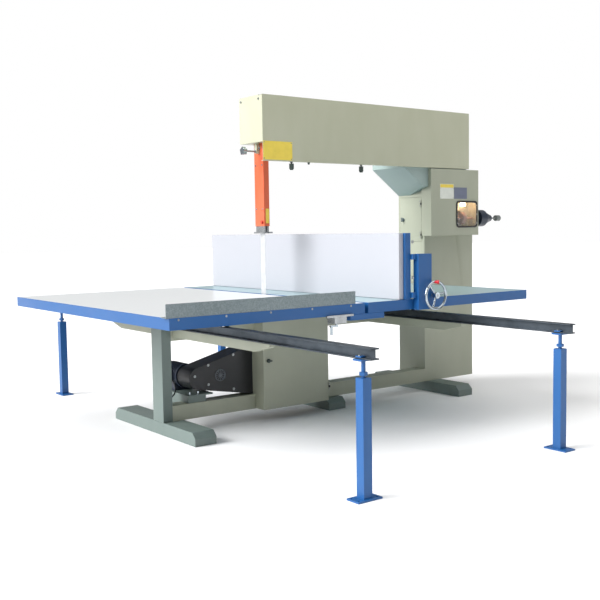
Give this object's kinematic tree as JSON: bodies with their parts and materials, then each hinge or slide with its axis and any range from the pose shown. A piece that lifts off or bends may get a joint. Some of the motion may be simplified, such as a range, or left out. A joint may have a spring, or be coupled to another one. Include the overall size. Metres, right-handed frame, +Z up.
{
  "type": "vertical band-knife foam saw",
  "caption": "Vertical band-knife saw with a C-shaped frame, a rolling slotted table on floor rails, a geared fence and a sharpener for the blade.",
  "frame": {"origin": "on the floor, in the middle of the machine's footprint", "axes": "+X runs along the upper beam from its free end to the column, +Y runs from the operator's side to the back, along the rails, and +Z is up"},
  "size_m": [4.12, 4.3, 2.4575],
  "materials": {
    "sage_paint": "satin sprayed enamel",
    "beige_paint": "satin sprayed enamel",
    "grey_paint": "satin sprayed enamel",
    "blue_paint": "gloss sprayed enamel",
    "orange_paint": "gloss sprayed enamel",
    "black_paint": "satin black enamel",
    "rail_steel": "drawn and oiled",
    "bright_steel": "ground",
    "blade_steel": "polished band steel",
    "galvanised": "galvanised",
    "chrome_plate": "bright plated",
    "laminate": "high-gloss white laminate",
    "dark_knob": "moulded",
    "red_knob": "moulded",
    "abrasive": "bonded grit",
    "rubber_black": "moulded",
    "clear_pane": "clear",
    "lamp_glass": "warm lamp"
  },
  "bodies": {
    "root": {"base_beam": "beige_paint", "end_post": "grey_paint", "cross_beam": "beige_paint", "floor_feet": "grey_paint", "column": "beige_paint", "beam_box": "sage_paint", "beam_root": "sage_paint", "cabinet_shell": "beige_paint", "belt_guard": "black_paint", "drive_motor": "black_paint", "motor_platform": "grey_paint", "motor_cable": "rubber_black", "drive_belt": "rubber_black", "blade": "blade_steel", "wheel_axles": "bright_steel", "grinder_housing": "beige_paint", "window_frame": "black_paint", "window_glass": "clear_pane", "grinder_motors": "black_paint", "inspection_lamp": "lamp_glass", "rails": "rail_steel", "support_posts": "blue_paint", "post_jacks": "blue_paint", "hinge_pins": "black_paint"},
    "cover": {"beam_cover": "sage_paint"},
    "cover_latch_left": {"cover_latch_left": "dark_knob"},
    "cover_latch_right": {"cover_latch_right": "dark_knob"},
    "cabinet_door": {"cabinet_door": "beige_paint"},
    "cabinet_latch": {"cabinet_latch": "dark_knob"},
    "column_door": {"column_door": "beige_paint"},
    "column_lock": {"column_lock": "chrome_plate"},
    "guard": {"blade_guard": "orange_paint", "guide_foot": "bright_steel"},
    "thrust_roller": {"thrust_roller": "bright_steel"},
    "guard_clamp_knob": {"guard_clamp_knob": "chrome_plate"},
    "wheel_upper_left": {"wheel_upper_left": "bright_steel"},
    "wheel_upper_right": {"wheel_upper_right": "bright_steel"},
    "wheel_lower_right": {"wheel_lower_right": "bright_steel"},
    "drive_wheel": {"drive_wheel": "bright_steel", "drive_shaft": "bright_steel"},
    "motor_pulley": {"motor_pulley": "bright_steel"},
    "table": {"table_frame_left": "blue_paint", "table_frame_right": "blue_paint", "table_bridge": "blue_paint", "table_top_left": "laminate", "table_top_right": "laminate", "stop_angle": "galvanised", "fence_racks": "bright_steel", "table_lock": "bright_steel"},
    "lock_crank": {"lock_crank": "chrome_plate"},
    "rollers_front": {"rollers_front": "bright_steel"},
    "rollers_rear": {"rollers_rear": "bright_steel"},
    "fence": {"fence_panel": "laminate", "fence_frame": "blue_paint"},
    "handwheel": {"handwheel": "chrome_plate", "fence_shaft": "bright_steel"},
    "crank_knob": {"crank_knob": "red_knob"},
    "grinding_disc_left": {"grinding_disc_left": "abrasive"},
    "grinding_disc_right": {"grinding_disc_right": "abrasive"},
    "adjust_knob": {"adjust_knob": "dark_knob"}
  },
  "joints": [
    {"name": "cover_lift", "type": "hinge", "parent": "root", "child": "cover", "pos_m": [0.4532, -0.1, 2.45], "axis": [-1, 0, 0], "range_deg": [0, 95]},
    {"name": "cover_latch_left_turn", "type": "hinge", "parent": "cover", "child": "cover_latch_left", "pos_m": [-0.38615, -0.122, 1.964], "axis": [0, 0, 1], "range_deg": [0, 90]},
    {"name": "cover_latch_right_turn", "type": "hinge", "parent": "cover", "child": "cover_latch_right", "pos_m": [0.31294, -0.122, 1.964], "axis": [0, 0, 1], "range_deg": [0, 90]},
    {"name": "cabinet_door_swing", "type": "hinge", "parent": "root", "child": "cabinet_door", "pos_m": [-0.0576, -0.14, 0.468], "axis": [0, 0, 1], "range_deg": [0, 110]},
    {"name": "cabinet_latch_turn", "type": "hinge", "parent": "cabinet_door", "child": "cabinet_latch", "pos_m": [-0.645, -0.14, 0.468], "axis": [0, 1, 0], "range_deg": [0, 90]},
    {"name": "column_door_swing", "type": "hinge", "parent": "root", "child": "column_door", "pos_m": [1.116, 0.009, 1.525], "axis": [0, 0, 1], "range_deg": [0, 110]},
    {"name": "column_lock_turn", "type": "hinge", "parent": "column_door", "child": "column_lock", "pos_m": [1.125, 0.24, 1.525], "axis": [1, 0, 0], "range_deg": [0, 90]},
    {"name": "guard_lift", "type": "slide", "parent": "root", "child": "guard", "axis": [0, 0, 1], "range_m": [0, 0.3]},
    {"name": "thrust_roller_spin", "type": "hinge", "parent": "guard", "child": "thrust_roller", "pos_m": [-0.566, 0.0624, 1.46], "axis": [1, 0, 0], "continuous": true},
    {"name": "guard_clamp_turn", "type": "hinge", "parent": "root", "child": "guard_clamp_knob", "pos_m": [-0.59, 0.02, 2.043], "axis": [1, 0, 0], "range_deg": [-360, 360]},
    {"name": "drive_wheel_spin", "type": "hinge", "parent": "root", "child": "drive_wheel", "pos_m": [-0.3646, 0.02, 0.349], "axis": [0, 1, 0], "continuous": true},
    {"name": "wheel_upper_left_spin", "type": "hinge", "parent": "root", "child": "wheel_upper_left", "pos_m": [-0.3646, 0.02, 2.2], "axis": [0, 1, 0], "continuous": true},
    {"name": "wheel_upper_right_spin", "type": "hinge", "parent": "root", "child": "wheel_upper_right", "pos_m": [1.34, 0.02, 2.2], "axis": [0, 1, 0], "continuous": true},
    {"name": "wheel_lower_right_spin", "type": "hinge", "parent": "root", "child": "wheel_lower_right", "pos_m": [1.34, 0.02, 0.349], "axis": [0, 1, 0], "continuous": true},
    {"name": "motor_pulley_spin", "type": "hinge", "parent": "root", "child": "motor_pulley", "pos_m": [-1.16, 0.137, 0.372], "axis": [0, 1, 0], "continuous": true},
    {"name": "table_slide", "type": "slide", "parent": "root", "child": "table", "axis": [0, 1, 0], "range_m": [-1.3, 1.05]},
    {"name": "lock_crank_turn", "type": "hinge", "parent": "table", "child": "lock_crank", "pos_m": [-0.8, -1.14, 0.85], "axis": [0, 0, 1], "range_deg": [-90, 90]},
    {"name": "rollers_front_spin", "type": "hinge", "parent": "table", "child": "rollers_front", "pos_m": [-0.53, -0.7, 0.8503], "axis": [1, 0, 0], "range_deg": [-2430, 3000]},
    {"name": "rollers_rear_spin", "type": "hinge", "parent": "table", "child": "rollers_rear", "pos_m": [-0.53, 0.8, 0.8503], "axis": [1, 0, 0], "range_deg": [-2430, 3000]},
    {"name": "fence_slide", "type": "slide", "parent": "table", "child": "fence", "axis": [1, 0, 0], "range_m": [-0.302, 0.02]},
    {"name": "handwheel_turn", "type": "hinge", "parent": "fence", "child": "handwheel", "pos_m": [-0.006, -1.26, 0.9825], "axis": [0, 1, 0], "range_deg": [-700, 60]},
    {"name": "crank_knob_spin", "type": "hinge", "parent": "handwheel", "child": "crank_knob", "pos_m": [-0.0225, -1.3, 1.07606], "axis": [0, 1, 0], "continuous": true},
    {"name": "grinding_disc_left_spin", "type": "hinge", "parent": "root", "child": "grinding_disc_left", "pos_m": [1.53, -0.062, 1.53], "axis": [1, 0, 0], "continuous": true},
    {"name": "grinding_disc_right_spin", "type": "hinge", "parent": "root", "child": "grinding_disc_right", "pos_m": [1.55, -0.062, 1.53], "axis": [1, 0, 0], "continuous": true},
    {"name": "adjust_knob_turn", "type": "hinge", "parent": "root", "child": "adjust_knob", "pos_m": [2.04, -0.062, 1.53], "axis": [1, 0, 0], "range_deg": [-720, 720]}
  ],
  "couplings": [
    {"joint": "wheel_upper_left_spin", "follows": "drive_wheel_spin", "ratio": 1},
    {"joint": "wheel_upper_right_spin", "follows": "drive_wheel_spin", "ratio": 1},
    {"joint": "wheel_lower_right_spin", "follows": "drive_wheel_spin", "ratio": 1},
    {"joint": "motor_pulley_spin", "follows": "drive_wheel_spin", "ratio": 3.36},
    {"joint": "rollers_front_spin", "follows": "table_slide", "rad_per_m": -40},
    {"joint": "rollers_rear_spin", "follows": "table_slide", "rad_per_m": -40},
    {"joint": "handwheel_turn", "follows": "fence_slide", "rad_per_m": 39.216}
  ]
}
